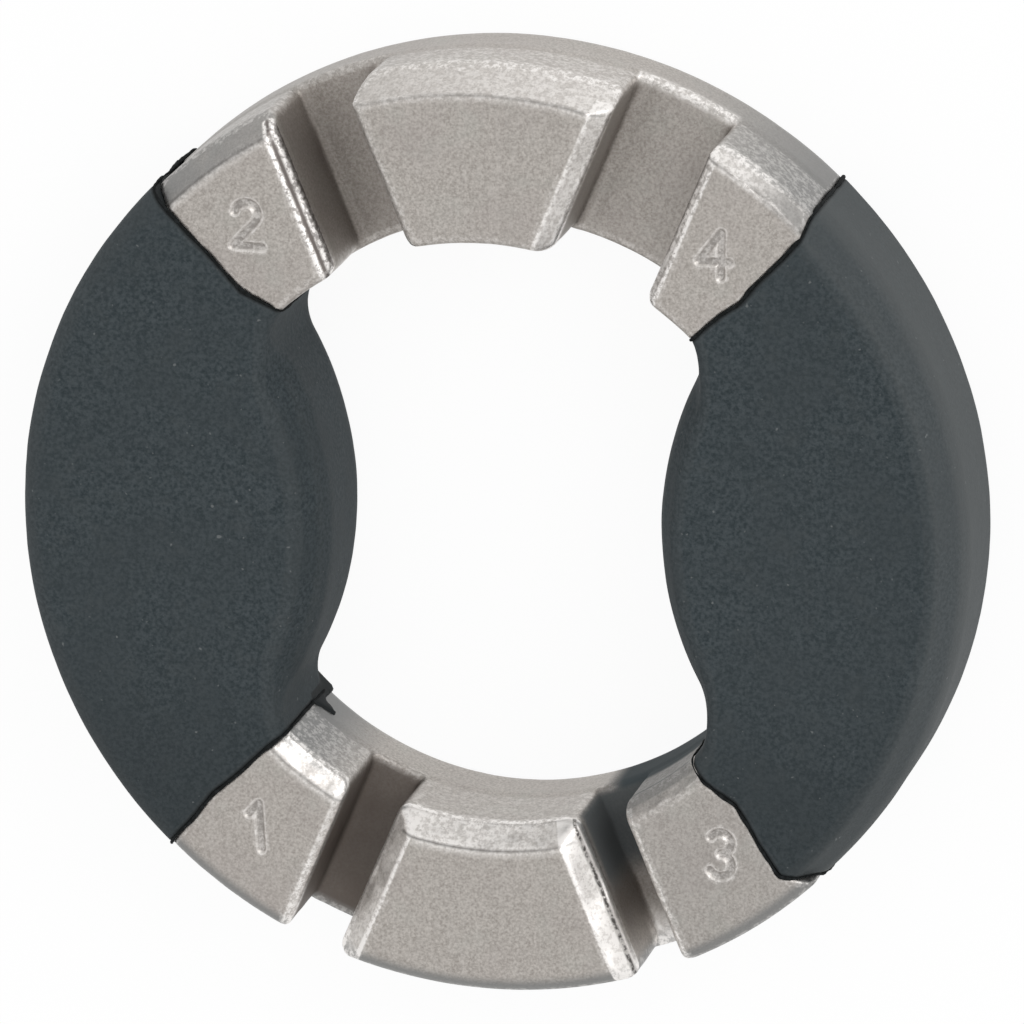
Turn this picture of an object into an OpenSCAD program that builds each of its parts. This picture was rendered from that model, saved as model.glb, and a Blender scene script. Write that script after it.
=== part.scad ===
// Ring-shaped spoke wrench: one cast ring with four radial jaw slots, and two
// rubber grips moulded round it.
// The ring lies on its back face. The origin is on the ring's axis at the back
// face. +Z points out of the front face, +X through the right grip and +Y
// through the plain block at the top.

/* [Ring] */
// Outer diameter of the cast ring
ring_od = 64; // [60:0.5:70]
// Width of the ring's band, from the bore to the rim
band_w = 11.8; // [10:0.1:14]
// Thickness of the ring, from its back face to its front face
ring_t = 11.8; // [10.6:0.1:14]
// Radius along the front edges of the rim and the bore
front_edge_r = 1.6; // [0.6:0.1:2.2]
// Radius along the back edges of the rim and the bore
back_edge_r = 1; // [0.4:0.1:1.8]

/* [Jaw slots] */
// Width of the slot beside block 1, at the lower left
slot_1_w = 3.45; // [3:0.05:4.5]
// Width of the slot beside block 2, at the upper left
slot_2_w = 5.4; // [4.6:0.05:6.2]
// Width of the slot beside block 3, at the lower right
slot_3_w = 3.3; // [3:0.05:4.5]
// Width of the slot beside block 4, at the upper right
slot_4_w = 6.9; // [6:0.05:7.6]
// Depth of every slot below the front face
slot_depth = 7.4; // [5.5:0.1:8.2]
// Angle from the vertical centreline to the middle of each slot
slot_angle = 22.5; // [21:0.5:25]
// Radius along a slot's mouth on the plain block's side
plain_mouth_r = 1.4; // [0.5:0.1:1.8]
// The same radius at slot 1, which has a wider lead-in
lead_in_r = 2.3; // [1:0.1:2.6]
// Radius along a slot's mouth on the numbered block's side
numbered_mouth_r = 1; // [0.4:0.1:1.5]
// Radius at the blocks' upright corners, where a slot meets the rim or the bore
corner_r = 1.3; // [0.5:0.1:1.8]
// Radius at the rim end and the bore end of a slot's floor
floor_end_r = 0.9; // [0.3:0.1:1.4]

/* [Grips] */
// Angle of the ring that each grip covers
grip_span = 90; // [84:1:96]
// How far each grip swells into the bore
grip_swell = 9; // [7:0.1:11]
// Angle of bore at each end of a grip, where the rubber doesn't swell
plain_end_angle = 4; // [2:0.5:6]
// How far in from its walls the bevel along a grip's front edges runs
bevel_w = 1.6; // [1:0.1:2.2]
// How far down a grip's walls the same bevel runs
bevel_h = 3.4; // [2:0.1:4.4]
// How far the rubber stands out beyond the rim
grip_proud = 0.2; // [0.05:0.05:0.5]
// Thickness of rubber over the bar that carries each grip
rubber_wall = 2.2; // [1.4:0.1:3]
// Radius along the bar's edges
bar_edge_r = 1; // [0.3:0.1:1.4]
// Gap round the bar, which the rubber's bond takes up
bond_gap = 0.05; // [0.02:0.01:0.1]

/* [Hidden] */
ring_r = ring_od / 2;
bore_r = ring_r - band_w;
floor_z = ring_t - slot_depth;
plain_span = 180 - grip_span;

// Every cut runs this far past the surface that it opens
overrun = 1;

// The floor-end radii are set out by this much, so that they meet the rim, the
// bore and the floor at a faint crease instead of only touching them
skim = 0.01;

// The swell is part of a disc. In plan its wall passes through the tip of the
// swell and the two points where the plain bore ends.
swell_tip_x = bore_r - grip_swell;
swell_end_x = bore_r * cos(grip_span / 2 - plain_end_angle);
swell_end_y = bore_r * sin(grip_span / 2 - plain_end_angle);
swell_rise = swell_end_x - swell_tip_x;
swell_r = (swell_rise * swell_rise + swell_end_y * swell_end_y) / (2 * swell_rise);
section_mid_r = (ring_r + bore_r) / 2;

// The disc is turned by this much, so that the seam in its round faces lies clear
// of the grip's centreline
seam_turn = 37;

// Each slot: its polar angle, its width, the radius of its mouth on the plain
// block's side, and whether the plain block lies anticlockwise of it
SLOTS = [
    [270 - slot_angle, slot_1_w, lead_in_r, true],
    [90 + slot_angle, slot_2_w, plain_mouth_r, false],
    [270 + slot_angle, slot_3_w, plain_mouth_r, false],
    [90 - slot_angle, slot_4_w, plain_mouth_r, true]
];

$fn = 96;

// What a radius takes off a square corner at (x, z). The signs out_x and out_z
// say which way the corner points.
module corner_bite(x, z, out_x, out_z, r) {
    difference() {
        translate([x - (out_x > 0 ? r : overrun), z - (out_z > 0 ? r : overrun)])
            square([r + overrun, r + overrun]);
        translate([x - out_x * r, z - out_z * r])
            circle(r);
    }
}

// A section from radius x0 to x1 and from height z0 to z1, with rounded edges
module rounded_section(x0, x1, z0, z1, front_r, back_r) {
    difference() {
        translate([x0, z0])
            square([x1 - x0, z1 - z0]);
        corner_bite(x1, z1, 1, 1, front_r);
        corner_bite(x0, z1, -1, 1, front_r);
        corner_bite(x1, z0, 1, -1, back_r);
        corner_bite(x0, z0, -1, -1, back_r);
    }
}

module ring_section() {
    rounded_section(bore_r, ring_r, 0, ring_t, front_edge_r, back_edge_r);
}

// What a grip's bevel takes off the front corner at x, which points out along
// the sign out_x
module bevel_bite(x, out_x) {
    polygon([
        [x - out_x * bevel_w, ring_t],
        [x, ring_t - bevel_h],
        [x + out_x * overrun, ring_t - bevel_h],
        [x + out_x * overrun, ring_t + overrun],
        [x - out_x * bevel_w, ring_t + overrun]
    ]);
}

// The grip's own section, over the bar
module grip_section() {
    outer_r = ring_r + grip_proud;
    difference() {
        translate([bore_r, 0])
            square([outer_r - bore_r, ring_t]);
        bevel_bite(bore_r, -1);
        bevel_bite(outer_r, 1);
        corner_bite(bore_r, 0, -1, -1, back_edge_r);
        corner_bite(outer_r, 0, 1, -1, back_edge_r);
    }
}

// The bar under the grips, or with a gap the hollow that the rubber leaves for it
module bar_section(gap) {
    rounded_section(
        bore_r + rubber_wall - gap, ring_r - rubber_wall + gap,
        rubber_wall - gap, ring_t - rubber_wall + gap,
        bar_edge_r + gap, bar_edge_r + gap
    );
}

// Sweeps a section round the axis through span degrees, centred on the angle mid
module sweep(mid, span) {
    rotate([0, 0, mid - span / 2])
        rotate_extrude(angle = span)
            children();
}

// The plan of a corner's rounding between a slot's wall and the circle edge_r.
// The circle is the rim where outward is 1, and the bore where it is -1.
module corner_plan(w, edge_r, outward) {
    centre_r = edge_r - outward * corner_r;
    centre_y = w / 2 + corner_r;
    centre_x = sqrt(centre_r * centre_r - centre_y * centre_y);
    past_r = edge_r + outward * overrun;
    difference() {
        polygon([
            [centre_x, centre_y],
            [centre_x, 0],
            [past_r, 0],
            [centre_x, centre_y] * past_r / centre_r
        ]);
        translate([centre_x, centre_y])
            circle(corner_r);
    }
}

// The plan of a slot that runs out along +X, with its four corners rounded
module slot_plan(w) {
    translate([bore_r - overrun - floor_end_r, -w / 2])
        square([ring_r - bore_r + floor_end_r + 2 * overrun, w]);
    for (side = [0, 1])
        mirror([0, side]) {
            corner_plan(w, ring_r, 1);
            corner_plan(w, bore_r, -1);
        }
}

// Half of a slot's section above its floor, up to a wall that ends in a rounded
// mouth
module half_section(w, mouth_r) {
    translate([0, floor_z])
        square([w / 2, slot_depth + overrun]);
    difference() {
        translate([0, ring_t - mouth_r])
            square([w / 2 + mouth_r, mouth_r + overrun]);
        translate([w / 2 + mouth_r, ring_t - mouth_r])
            circle(mouth_r);
    }
}

// All that a slot takes out of the ring, as it runs out along +X with the plain
// block on its +Y side
module slot_cut(w, plain_r) {
    translate([0, 0, floor_z])
        linear_extrude(slot_depth + overrun)
            slot_plan(w);
    translate([bore_r - overrun - floor_end_r, 0, 0])
        rotate([90, 0, 90])
            linear_extrude(ring_r - bore_r + floor_end_r + 2 * overrun) {
                half_section(w, plain_r);
                mirror([1, 0])
                    half_section(w, numbered_mouth_r);
            }
    intersection() {
        translate([0, 0, floor_z - floor_end_r])
            linear_extrude(floor_end_r + overrun)
                slot_plan(w);
        rotate_extrude() {
            corner_bite(ring_r + skim, floor_z + skim, 1, 1, floor_end_r);
            corner_bite(bore_r - skim, floor_z + skim, -1, 1, floor_end_r);
        }
    }
}

module ring_body() {
    color([0.71, 0.69, 0.66])
        difference() {
            union() {
                sweep(90, plain_span)
                    ring_section();
                sweep(270, plain_span)
                    ring_section();
                rotate_extrude()
                    bar_section(0);
            }
            for (slot = SLOTS)
                rotate([0, 0, slot[0]])
                    mirror([0, slot[3] ? 0 : 1, 0])
                        slot_cut(slot[1], slot[2]);
        }
}

// The part of the disc that swells into the bore, cut off inside the ring's
// section and at the grip's ends
module swell() {
    intersection() {
        translate([swell_tip_x + swell_r, 0, 0])
            rotate([0, 0, seam_turn])
                rotate_extrude()
                    difference() {
                        square([swell_r, ring_t]);
                        bevel_bite(swell_r, 1);
                        corner_bite(swell_r, 0, 1, -1, back_edge_r);
                    }
        sweep(0, grip_span)
            square([section_mid_r, ring_t]);
    }
}

// The right-hand grip, shaped round the bar
module grip() {
    color([0.23, 0.26, 0.28])
        difference() {
            union() {
                sweep(0, grip_span)
                    grip_section();
                swell();
            }
            rotate_extrude()
                bar_section(bond_gap);
        }
}

module right_grip() {
    grip();
}

module left_grip() {
    rotate([0, 0, 180])
        grip();
}

ring_body();
left_grip();
right_grip();
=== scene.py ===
# %% [markdown]
# # A ring-shaped spoke wrench
# The tool is one cast ring, satin nickel over a slightly rough casting, with
# four slots across its front face and two black rubber grips moulded round it.
# The CAD frame gives every size and place. Here the three pieces get the parts
# of their shape that a photograph shows and a drawing leaves out: uneven cast
# edges, stamped numbers, rubber that ends in a ragged line, and the finishes.

# %% Load the frame
import itertools
import math

import bpy
import numpy as np
from mathutils import Matrix, Vector


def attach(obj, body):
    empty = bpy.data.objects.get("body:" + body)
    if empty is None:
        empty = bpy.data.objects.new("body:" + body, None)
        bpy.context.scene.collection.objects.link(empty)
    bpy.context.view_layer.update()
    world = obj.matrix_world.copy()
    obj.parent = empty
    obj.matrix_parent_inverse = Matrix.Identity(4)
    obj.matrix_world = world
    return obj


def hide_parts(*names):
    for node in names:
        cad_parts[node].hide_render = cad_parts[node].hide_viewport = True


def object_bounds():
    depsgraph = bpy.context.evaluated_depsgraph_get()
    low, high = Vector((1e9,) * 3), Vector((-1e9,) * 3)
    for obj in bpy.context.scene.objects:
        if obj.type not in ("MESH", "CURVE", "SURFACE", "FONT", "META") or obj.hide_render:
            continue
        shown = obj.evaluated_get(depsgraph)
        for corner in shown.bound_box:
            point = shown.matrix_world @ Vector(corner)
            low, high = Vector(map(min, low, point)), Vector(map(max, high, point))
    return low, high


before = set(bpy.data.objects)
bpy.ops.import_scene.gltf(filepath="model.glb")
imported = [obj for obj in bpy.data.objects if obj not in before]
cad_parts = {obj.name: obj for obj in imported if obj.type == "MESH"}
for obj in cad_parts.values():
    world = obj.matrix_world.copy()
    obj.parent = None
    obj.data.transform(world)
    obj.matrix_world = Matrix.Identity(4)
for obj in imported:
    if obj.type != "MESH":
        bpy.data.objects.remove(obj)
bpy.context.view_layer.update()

MM = 0.001


def add_object(name, data):
    thing = bpy.data.objects.new(name, data)
    bpy.context.scene.collection.objects.link(thing)
    return thing


# %% [markdown]
# ## The camera
# The ring lies on its back with its axis upright, and the photograph looks down
# on it from a little to the right of and above the middle. The direction, the
# distance and the focal length came from fitting the rim, the bore and the grips
# to their outlines. A long lens from 0.64 m gives the photograph's mild
# perspective, and a small sideways step of the camera gives its framing.

# %% Camera
THICKNESS = 11.8
RIM_R = 32.0
SENSOR_WIDTH = 36
FOCAL_LENGTH = 340.7
VIEW_TURN = math.radians(14.03)
VIEW_RISE = math.radians(16.79)
# the way from the front face to the camera and its two steps aside, in rim radii
VIEW_DISTANCE = 20.12
STEP_RIGHT = 0.0602
STEP_UP = 0.0588

towards_camera = Vector((
    math.sin(VIEW_TURN) * math.cos(VIEW_RISE),
    math.sin(VIEW_RISE),
    math.cos(VIEW_TURN) * math.cos(VIEW_RISE),
))
camera_right = Vector((math.cos(VIEW_TURN), 0, -math.sin(VIEW_TURN)))
camera_up = towards_camera.cross(camera_right)

camera_data = bpy.data.cameras.new("camera")
camera_data.sensor_width = SENSOR_WIDTH
camera_data.lens = FOCAL_LENGTH
camera_data.clip_start = 0.01
camera_data.clip_end = 10
camera = add_object("camera", camera_data)
bpy.context.scene.camera = camera

front_centre = Vector((0, 0, THICKNESS))
stand_point = front_centre + RIM_R * (
    VIEW_DISTANCE * towards_camera + STEP_RIGHT * camera_right + STEP_UP * camera_up
)
aim = Matrix((camera_right, camera_up, towards_camera)).transposed().to_4x4()
camera.matrix_world = Matrix.Translation(stand_point * MM) @ aim
print("camera at", [round(value, 4) for value in stand_point * MM])

# %% [markdown]
# ## Shader maths as Python
# A finish mixes many small patterns. Written as nodes by hand that is hard to
# read, so one class wraps a socket and turns + - * into Math nodes, and another
# holds a material and adds any other node from its type, its settings and its
# sockets.

# %% Socket maths
def maths(operation, swapped=False):
    """A method that adds one Math node. Where Python calls it from the right
    operand, as in 1 - wire, the two are swapped."""
    def method(self, other=0.0):
        operands = [other, self] if swapped else [self, other]
        return self.finish.node("ShaderNodeMath", {"operation": operation}, operands)
    return method


class Wire:
    """One output socket, on which Python's operators add Math nodes"""

    def __init__(self, finish, socket):
        self.finish = finish
        self.socket = socket

    __add__ = maths("ADD")
    __radd__ = maths("ADD", swapped=True)
    __sub__ = maths("SUBTRACT")
    __rsub__ = maths("SUBTRACT", swapped=True)
    __mul__ = maths("MULTIPLY")
    __rmul__ = maths("MULTIPLY", swapped=True)
    size = maths("ABSOLUTE")
    at_least = maths("MAXIMUM")
    at_most = maths("MINIMUM")

    def step(self, low, high):
        """0 below low, 1 above high and smooth between them"""
        return self.finish.node(
            "ShaderNodeMapRange", {"interpolation_type": "SMOOTHSTEP"},
            {"Value": self, "From Min": low, "From Max": high},
        )


print("socket maths ready")

# %% A material that nodes are added to
class Finish:
    """A material whose nodes are added by one method"""

    def __init__(self, name):
        self.material = bpy.data.materials.new(name)
        self.material.use_nodes = True
        self.tree = self.material.node_tree
        self.tree.nodes.clear()

    def node(self, kind, settings=None, sockets=None, output=0):
        """Adds a node. Its sockets are a dictionary of identifiers, or a list
        in the node's own order. The result is a wire from the output named."""
        made = self.tree.nodes.new(kind)
        for key, value in (settings or {}).items():
            setattr(made, key, value)
        pairs = sockets or {}
        if isinstance(pairs, list):
            pairs = dict(zip([place.identifier for place in made.inputs], pairs))
        for place in made.inputs:
            if place.identifier in pairs:
                self.plug(place, pairs[place.identifier])
        found = [way for way in made.outputs if way.identifier == output]
        return Wire(self, found[0] if found else made.outputs[output])

    def plug(self, place, value):
        if isinstance(value, Wire):
            self.tree.links.new(value.socket, place)
        else:
            place.default_value = value

    def place(self):
        return self.node("ShaderNodeTexCoord", output="Object")

    def attribute(self, name):
        return self.node("ShaderNodeAttribute", {"attribute_name": name}, output="Fac")

    def noise(self, where, size_mm, detail=2.0, roughness=0.5):
        """Smooth noise whose lumps are about size_mm across"""
        return self.node("ShaderNodeTexNoise", None, {
            "Vector": where, "Scale": 1 / (size_mm * MM), "Detail": detail, "Roughness": roughness,
        }, output="Fac")

    def mix(self, share, first, second):
        return self.node("ShaderNodeMix", {"data_type": "RGBA"}, {
            "Factor_Float": share, "A_Color": first, "B_Color": second,
        }, output="Result_Color")

    def layers(self, tone, layers):
        """Mixes colours over a tone, one after the other, each by its share"""
        for share, colour in layers:
            tone = self.mix(share, tone, (*colour, 1))
        return tone

    def bump(self, strength, depth_mm, height):
        return self.node("ShaderNodeBump", None, {
            "Strength": strength, "Distance": depth_mm * MM, "Height": height,
        }, output="Normal")

    def finish_with(self, shader):
        end = self.tree.nodes.new("ShaderNodeOutputMaterial")
        self.tree.links.new(shader.socket, end.inputs["Surface"])
        return self.material

    def surface(self, sockets):
        return self.finish_with(self.node("ShaderNodeBsdfPrincipled", None, sockets, "BSDF"))


print("material helper ready")

# %% [markdown]
# ## Uneven, but the same every time
# A casting is never as true as its drawing. Smooth random lumps shift each
# surface by a few hundredths of a millimetre and move the ends of the rubber in
# and out. A Displace modifier could do it to a finished mesh, but the shapes below
# are made from distances, so the lumps are values in space, read from a small
# table of random numbers with a fixed seed.

# %% Steps and humps
def smooth_step(value, low, high):
    """0 below low, 1 above high and smooth between them"""
    share = np.clip((value - low) / (high - low), 0, 1)
    return share * share * (3 - 2 * share)


def between(value, start, full, fade, end):
    """1 from full to fade, and down to 0 at start and at end"""
    return smooth_step(value, start, full) * smooth_step(-value, -end, -fade)


def hump(value, middle, half_width):
    """1 at the middle, falling off smoothly to either side"""
    return np.exp(-((value - middle) / half_width) ** 2)


print("half way up a step:", smooth_step(0.5, 0, 1))

# %% Random lumps
class Lumps:
    """Smooth random values in space, whose lumps are size_mm across"""

    SIDE = 32  # numbers along each side of the table
    OFFSET = 0.37  # keeps the object's own middle planes off the table's planes

    def __init__(self, seed, size_mm):
        self.table = np.random.default_rng(seed).uniform(-1, 1, (self.SIDE,) * 3)
        self.size = size_mm

    def at(self, x, y, z=0.0):
        scaled = [coordinate / self.size + self.OFFSET for coordinate in (x, y, z)]
        cells = [np.floor(value).astype(int) for value in scaled]
        shares = [smooth_step(value - cell, 0, 1) for value, cell in zip(scaled, cells)]
        total = 0
        for corner in itertools.product((0, 1), repeat=3):
            weight = math.prod(share if step else 1 - share for share, step in zip(shares, corner))
            spot = tuple((cell + step) % self.SIDE for cell, step in zip(cells, corner))
            total = total + weight * self.table[spot]
        return total


wide_lumps = Lumps(3, 3.1)
fine_lumps = Lumps(4, 0.9)
end_lumps = Lumps(5, 2.3)
edge_lumps = Lumps(6, 1.4)
print("lumps at the origin:", round(float(wide_lumps.at(0.0, 0.0, 0.0)), 3))

# %% [markdown]
# ## Shapes as distances
# Booleans and bevels leave crisp, even edges. A casting has soft ones whose
# radius wanders, so the ring and the grips are described by a function that
# gives any point's distance to the surface, below zero inside. Two such shapes
# join or cut each other with a rounding of any radius, even one that changes
# from place to place.

# %% Rounded joins and cuts
def both_of(a, b, radius):
    """Where two shapes overlap, with the edge between them rounded"""
    over_a = np.maximum(a + radius, 0)
    over_b = np.maximum(b + radius, 0)
    return np.minimum(np.maximum(a, b), -radius) + np.hypot(over_a, over_b)


def either_of(a, b, radius):
    """Two shapes together, with a fillet in the corner between them"""
    under_a = np.maximum(radius - a, 0)
    under_b = np.maximum(radius - b, 0)
    return np.maximum(np.minimum(a, b), radius) - np.hypot(under_a, under_b)


def past_flat(past_wall, past_face, leg_in, leg_down):
    """How far a point lies past a flat across an edge. The flat starts leg_in
    from the wall on the face, and ends leg_down below the face on the wall."""
    return (
        past_wall * leg_down + past_face * leg_in + leg_in * leg_down
    ) / np.hypot(leg_in, leg_down)


def section(radius, z, inner, outer, low, high, front_round, back_round):
    """A band from inner to outer and from low to high, with rounded edges"""
    rounding = np.where(z > (low + high) / 2, front_round, back_round)
    past_r = np.abs(radius - (inner + outer) / 2) - (outer - inner) / 2 + rounding
    past_z = np.abs(z - (low + high) / 2) - (high - low) / 2 + rounding
    outside = np.hypot(np.maximum(past_r, 0), np.maximum(past_z, 0))
    return outside + np.minimum(np.maximum(past_r, past_z), 0) - rounding


print("the middle of a 10 mm square bar:", section(25, 5, 20, 30, 0, 10, 1.0, 1.0), "mm")

# %% [markdown]
# ## The cast ring
# Every size comes from the CAD part: a band 11.8 mm wide and thick, slots 7.4 mm
# deep at 22.5 degrees to either side of the top and the bottom, each of its own
# width. Under the grips only a thinner bar carries on. On the real casting the
# rim's front edge is ground to a flat along the upper blocks, steepest at the
# top, and only rounded along the lower ones, where the bore's edge has the flat.

# %% Sizes of the ring
BORE_R = 20.2
MIDDLE_R = 26  # parts the rim's half of the band from the bore's half
FLOOR_Z = 4.4
WALL = 2.2
PROUD = 0.15
BACK_ROUND = 1.0
BAR_ROUND = 1.0
FAR = 9.0  # stands for "nowhere near"

# the slots by their polar angles
LOWER_LEFT, UPPER_LEFT, LOWER_RIGHT, UPPER_RIGHT = 247.5, 112.5, 292.5, 67.5
SLOT_START = 10  # how far from the axis a slot's hollow begins
SLOT_SIDE = 5  # beyond this a point is on the slot's side of the ring

# polar angle, width, and how wide the flat along the mouth is, first on the
# slot's anticlockwise side and then on its clockwise side
SLOTS = [
    (LOWER_LEFT, 3.45, 1.7, 0.6),
    (UPPER_LEFT, 5.4, 0.9, 0.6),
    (LOWER_RIGHT, 3.3, 0.6, 1.6),
    (UPPER_RIGHT, 6.9, 1.3, 0.7),
]


def bar(radius, z, gap):
    """The bar under the grips, made larger all round by a gap"""
    return section(
        radius, z, BORE_R + WALL - gap, RIM_R - WALL + gap,
        WALL - gap, THICKNESS - WALL + gap, BAR_ROUND + gap, BAR_ROUND + gap,
    )


print("slots at", [slot[0] for slot in SLOTS], "degrees")

# %% Where the rubber ends
# how far each grip's end runs past 45 degrees, at a few radii, for each corner
END_LINES = {
    (1, 1): ([20, 22, 24.5, 27, 30.6, 31.6], [0.5, 0.53, 0.24, 0.35, 0.51, 1.1]),
    (1, -1): ([20, 21.9, 24.3, 26.5, 29.8, 30.4, 31.6], [0.2, 0.46, -0.05, 0.42, 1.2, 0.8, 0]),
    (-1, 1): ([20.2, 21, 23, 26.5, 32], [0.6, 0.5, -0.3, -0.2, -0.23]),
    (-1, -1): ([20, 21, 24, 27, 30, 32], [0.6, 0.55, 0.47, 0.41, 0.7, 0.9]),
}


def past_end(x, y):
    """How far a point lies past the line between metal and rubber, towards the
    rubber. The line wanders, as rubber does at the edge of its mould."""
    straight = (np.abs(x) - np.abs(y)) / math.sqrt(2)
    radius = np.hypot(x, y)
    shift = 0
    for (side, above), (radii, shifts) in END_LINES.items():
        here = (np.sign(x) == side) & (np.sign(y) == above)
        shift = np.where(here, np.interp(radius, radii, shifts), shift)
    return straight + shift + 0.10 * end_lumps.at(x, y) + 0.06 * edge_lumps.at(x, y)


print("ends of the rubber:", len(END_LINES))

# %% Flats along the ring's front edges
# from one polar angle to another: how far in and how far down the rim's flat
# runs and the radius left there, and the same for the flat along the bore
EDGES = np.array([
    (0, 60, 0.95, 1.8, 0.3, 0.2, 0.2, 0.7),
    (74, 104, 1.6, 3.4, 0.3, 0.2, 0.2, 0.7),
    (116, 160, 1.5, 2.1, 0.3, 0.2, 0.2, 0.7),
    (200, 240, 0.3, 0.3, 1.5, 1.4, 1.2, 0.3),
    (252, 288, 0.3, 0.3, 1.5, 1.6, 1.9, 0.3),
    (296, 340, 0.3, 0.3, 1.5, 1.3, 1.6, 0.3),
    (360, 360, 0.95, 1.8, 0.3, 0.2, 0.2, 0.7),
])


def turn_of(x, y):
    """A point's polar angle in degrees, from 0 to 360"""
    return np.degrees(np.arctan2(y, x)) % 360


def edges_at(x, y):
    angles = EDGES[:, :2].ravel()
    return [np.interp(turn_of(x, y), angles, np.repeat(row, 2)) for row in EDGES.T[2:]]


def front_flats(x, y, z, edges):
    """How far a point lies past the flats along the rim and along the bore"""
    rim_in, rim_down, _, bore_in, bore_down, _ = edges
    radius = np.hypot(x, y)
    rim_flat = past_flat(radius - RIM_R, z - THICKNESS, rim_in, rim_down)
    bore_flat = past_flat(BORE_R - radius, z - THICKNESS, bore_in, bore_down)
    return rim_flat, bore_flat


print("rim's flat at the top:", [round(float(leg), 2) for leg in edges_at(0.0, 1.0)[:2]], "mm")

# %% The ring as a distance
def slot_hollow(x, y, z, angle, width):
    """The space inside one slot, and how far across and along it a point lies"""
    out_x = math.cos(math.radians(angle))
    out_y = math.sin(math.radians(angle))
    along = x * out_x + y * out_y
    across = y * out_x - x * out_y
    hollow = both_of(np.abs(across) - width / 2, FLOOR_Z - z, 0.8)
    return np.maximum(hollow, SLOT_START - along), across, along


def ring_distance(x, y, z, detailed=True):
    radius = np.hypot(x, y)
    edges = edges_at(x, y)
    rim_in, _, rim_round, _, _, bore_round = edges
    rim_flat, bore_flat = front_flats(x, y, z, edges)
    uneven = 0
    wander = 1
    if detailed:
        wide, fine, edge = [lumps.at(x, y, z) for lumps in (wide_lumps, fine_lumps, edge_lumps)]
        # the faces' lumps in millimetres, and how much the roundings vary
        uneven = 0.014 * wide + 0.008 * fine
        wander = 1 + 0.08 * edge
        ragged = 0.09 * fine + 0.05 * edge
        rim_flat = rim_flat + ragged * smooth_step(rim_in, 0.4, 0.9)
        bore_flat = bore_flat + 0.6 * ragged
    front_round = np.where(radius > MIDDLE_R, rim_round, bore_round)
    band = section(radius, z, BORE_R, RIM_R, 0, THICKNESS, front_round, BACK_ROUND)
    band = both_of(both_of(band, rim_flat, 0.22), bore_flat, 0.22)
    blocks = both_of(band, past_end(x, y), 0.15)
    body = np.minimum(blocks, bar(radius, z, 0)) + uneven
    past_band = np.maximum(radius - RIM_R, BORE_R - radius)
    for angle, width, *flat_widths in SLOTS:
        hollow, across, along = slot_hollow(x, y, z, angle, width)
        past_wall = np.abs(across) - width / 2
        here = along > SLOT_SIDE
        body = both_of(body, -hollow, 0.35 * wander)
        leg = np.where(across > 0, *flat_widths) * wander
        flat = np.where(here, past_flat(-past_wall, z - THICKNESS, leg, leg), -FAR)
        body = both_of(body, flat, 0.2)
        # the top block's upper left corner is rounder than the others
        softer = (angle == UPPER_LEFT) & (across < 0) & (radius > MIDDLE_R)
        corner = both_of(past_band, -past_wall, np.where(softer, 2.2, 1.0) * wander)
        corner = np.minimum(np.where(here, corner, -FAR), z - FLOOR_Z)
        body = both_of(body, corner, 0.2)
    if detailed:
        body = stamp_numbers(body, x, y, z)
    return body


middle = ring_distance(*np.array([[0.0], [26.1], [5.9]]), detailed=False)[0]
print("the plain block's middle:", round(middle, 2), "mm")

# %% [markdown]
# ## The numbers
# Each block beside a grip carries a plain number, 1 to 4. A stamp leaves a
# groove with a round bottom and pushes up a faint lip round it. A number is a
# few strokes, and the distance to the nearest stroke gives both, where a text
# object would give letters of even width with sharp edges.

# %% Strokes of the numbers
def arc(centre_x, centre_y, radius, start, end, count=12):
    angles = np.radians(np.linspace(start, end, count))
    return [(centre_x + radius * math.cos(a), centre_y + radius * math.sin(a)) for a in angles]


# each number's place on the ring, and its strokes about that place
NUMBERS = {
    1: ((-15.72, -21.28), [[(-0.6, 0.8), (0.1, 1.6), (0.3, -1.65)]]),
    2: ((-16.11, 20.63), [arc(-0.05, 0.75, 0.8, 170, -38) + [(-0.95, -1.45), (1.0, -1.45)]]),
    3: ((16.28, -20.65), [arc(0, 0.75, 0.75, 150, -90) + arc(0, -0.8, 0.8, 90, -150)]),
    4: ((15.58, 20.71), [[(0.5, -1.55), (0.5, 1.5), (-1.0, -0.5), (1.05, -0.5)]]),
}
NUMBER_REACH = 4
GROOVE_HALF = 0.26
GROOVE_DEPTH = 0.2


def stroke_distance(x, y, strokes):
    nearest = np.full(x.shape, FAR)
    for line in strokes:
        for (ax, ay), (bx, by) in zip(line, line[1:]):
            run_x, run_y = bx - ax, by - ay
            share = ((x - ax) * run_x + (y - ay) * run_y) / (run_x ** 2 + run_y ** 2)
            share = np.clip(share, 0, 1)
            nearest = np.minimum(nearest, np.hypot(x - ax - share * run_x, y - ay - share * run_y))
    return nearest


def near_numbers(x, y, z):
    """For each number, the points close to it and their distance to its strokes"""
    for (place_x, place_y), strokes in NUMBERS.values():
        close = (np.hypot(x - place_x, y - place_y) < NUMBER_REACH) & (z > THICKNESS - 1.5)
        if close.any():
            yield close, stroke_distance(x[close] - place_x, y[close] - place_y, strokes)


def stamp_numbers(body, x, y, z):
    body = body.copy()
    for close, stroke in near_numbers(x, y, z):
        lip = 0.025 * hump(stroke, 0.5, 0.2)
        groove = both_of(stroke - GROOVE_HALF, THICKNESS - GROOVE_DEPTH - z[close], 0.2)
        body[close] = both_of(body[close] - lip, -groove, 0.15)
    return body


def stamp_shade(x, y, z):
    """1 in a number's groove and 0 on the face round it"""
    shade = np.zeros(len(x))
    for close, stroke in near_numbers(x, y, z):
        shade[close] = 1 - smooth_step(stroke, 0.15, 0.55)
    return shade


print("numbers of", [len(strokes[0]) - 1 for place, strokes in NUMBERS.values()], "strokes")

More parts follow.
